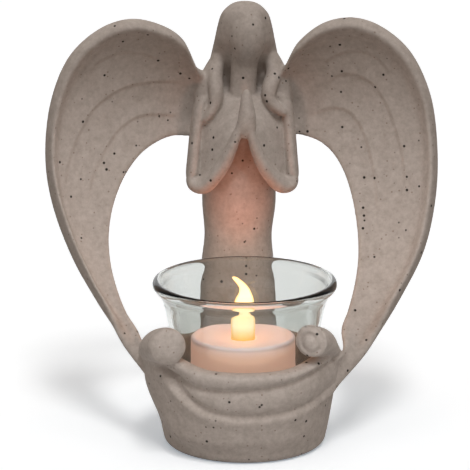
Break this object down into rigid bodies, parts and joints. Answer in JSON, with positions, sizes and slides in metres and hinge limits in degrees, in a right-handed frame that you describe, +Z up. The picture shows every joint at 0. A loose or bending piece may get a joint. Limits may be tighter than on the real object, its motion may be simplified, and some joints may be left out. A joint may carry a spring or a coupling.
{
  "type": "candle holder",
  "caption": "Cast resin angel whose wings come forward to a draped cup, with a flared votive glass standing in the cup and an LED candle standing in the glass.",
  "frame": {"origin": "centre of the cup's round foot, on the surface that the piece stands on", "axes": "+Z up, -Y towards the front where the cup is, +X to the viewer's right"},
  "size_m": [0.1445, 0.094, 0.1554],
  "materials": {
    "cast_resin": "matte, stone-filled, finely speckled",
    "clear_glass": "clear, fire-polished lip",
    "ivory_plastic": "soft satin",
    "amber_plastic": "frosted, translucent",
    "led_epoxy": "clear, glossy",
    "tinned_wire": "tinned",
    "plated_steel": "bright plated",
    "black_plastic": "fine textured"
  },
  "bodies": {
    "holder": {"figure_casting": "cast_resin", "votive_glass": "clear_glass", "candle_shell": "ivory_plastic", "flame_lens": "amber_plastic", "led_bulb": "led_epoxy", "led_lead_to_cell": "tinned_wire", "led_lead_to_switch": "tinned_wire", "base_plate": "ivory_plastic", "battery_door": "ivory_plastic", "door_screw": "plated_steel", "button_cell": "plated_steel", "cell_contact": "plated_steel"},
    "switch": {"switch_slider": "black_plastic"}
  },
  "joints": [
    {"name": "switch_slide", "type": "slide", "parent": "holder", "child": "switch", "axis": [0, -1, 0], "range_m": [0, 0.0025]}
  ]
}
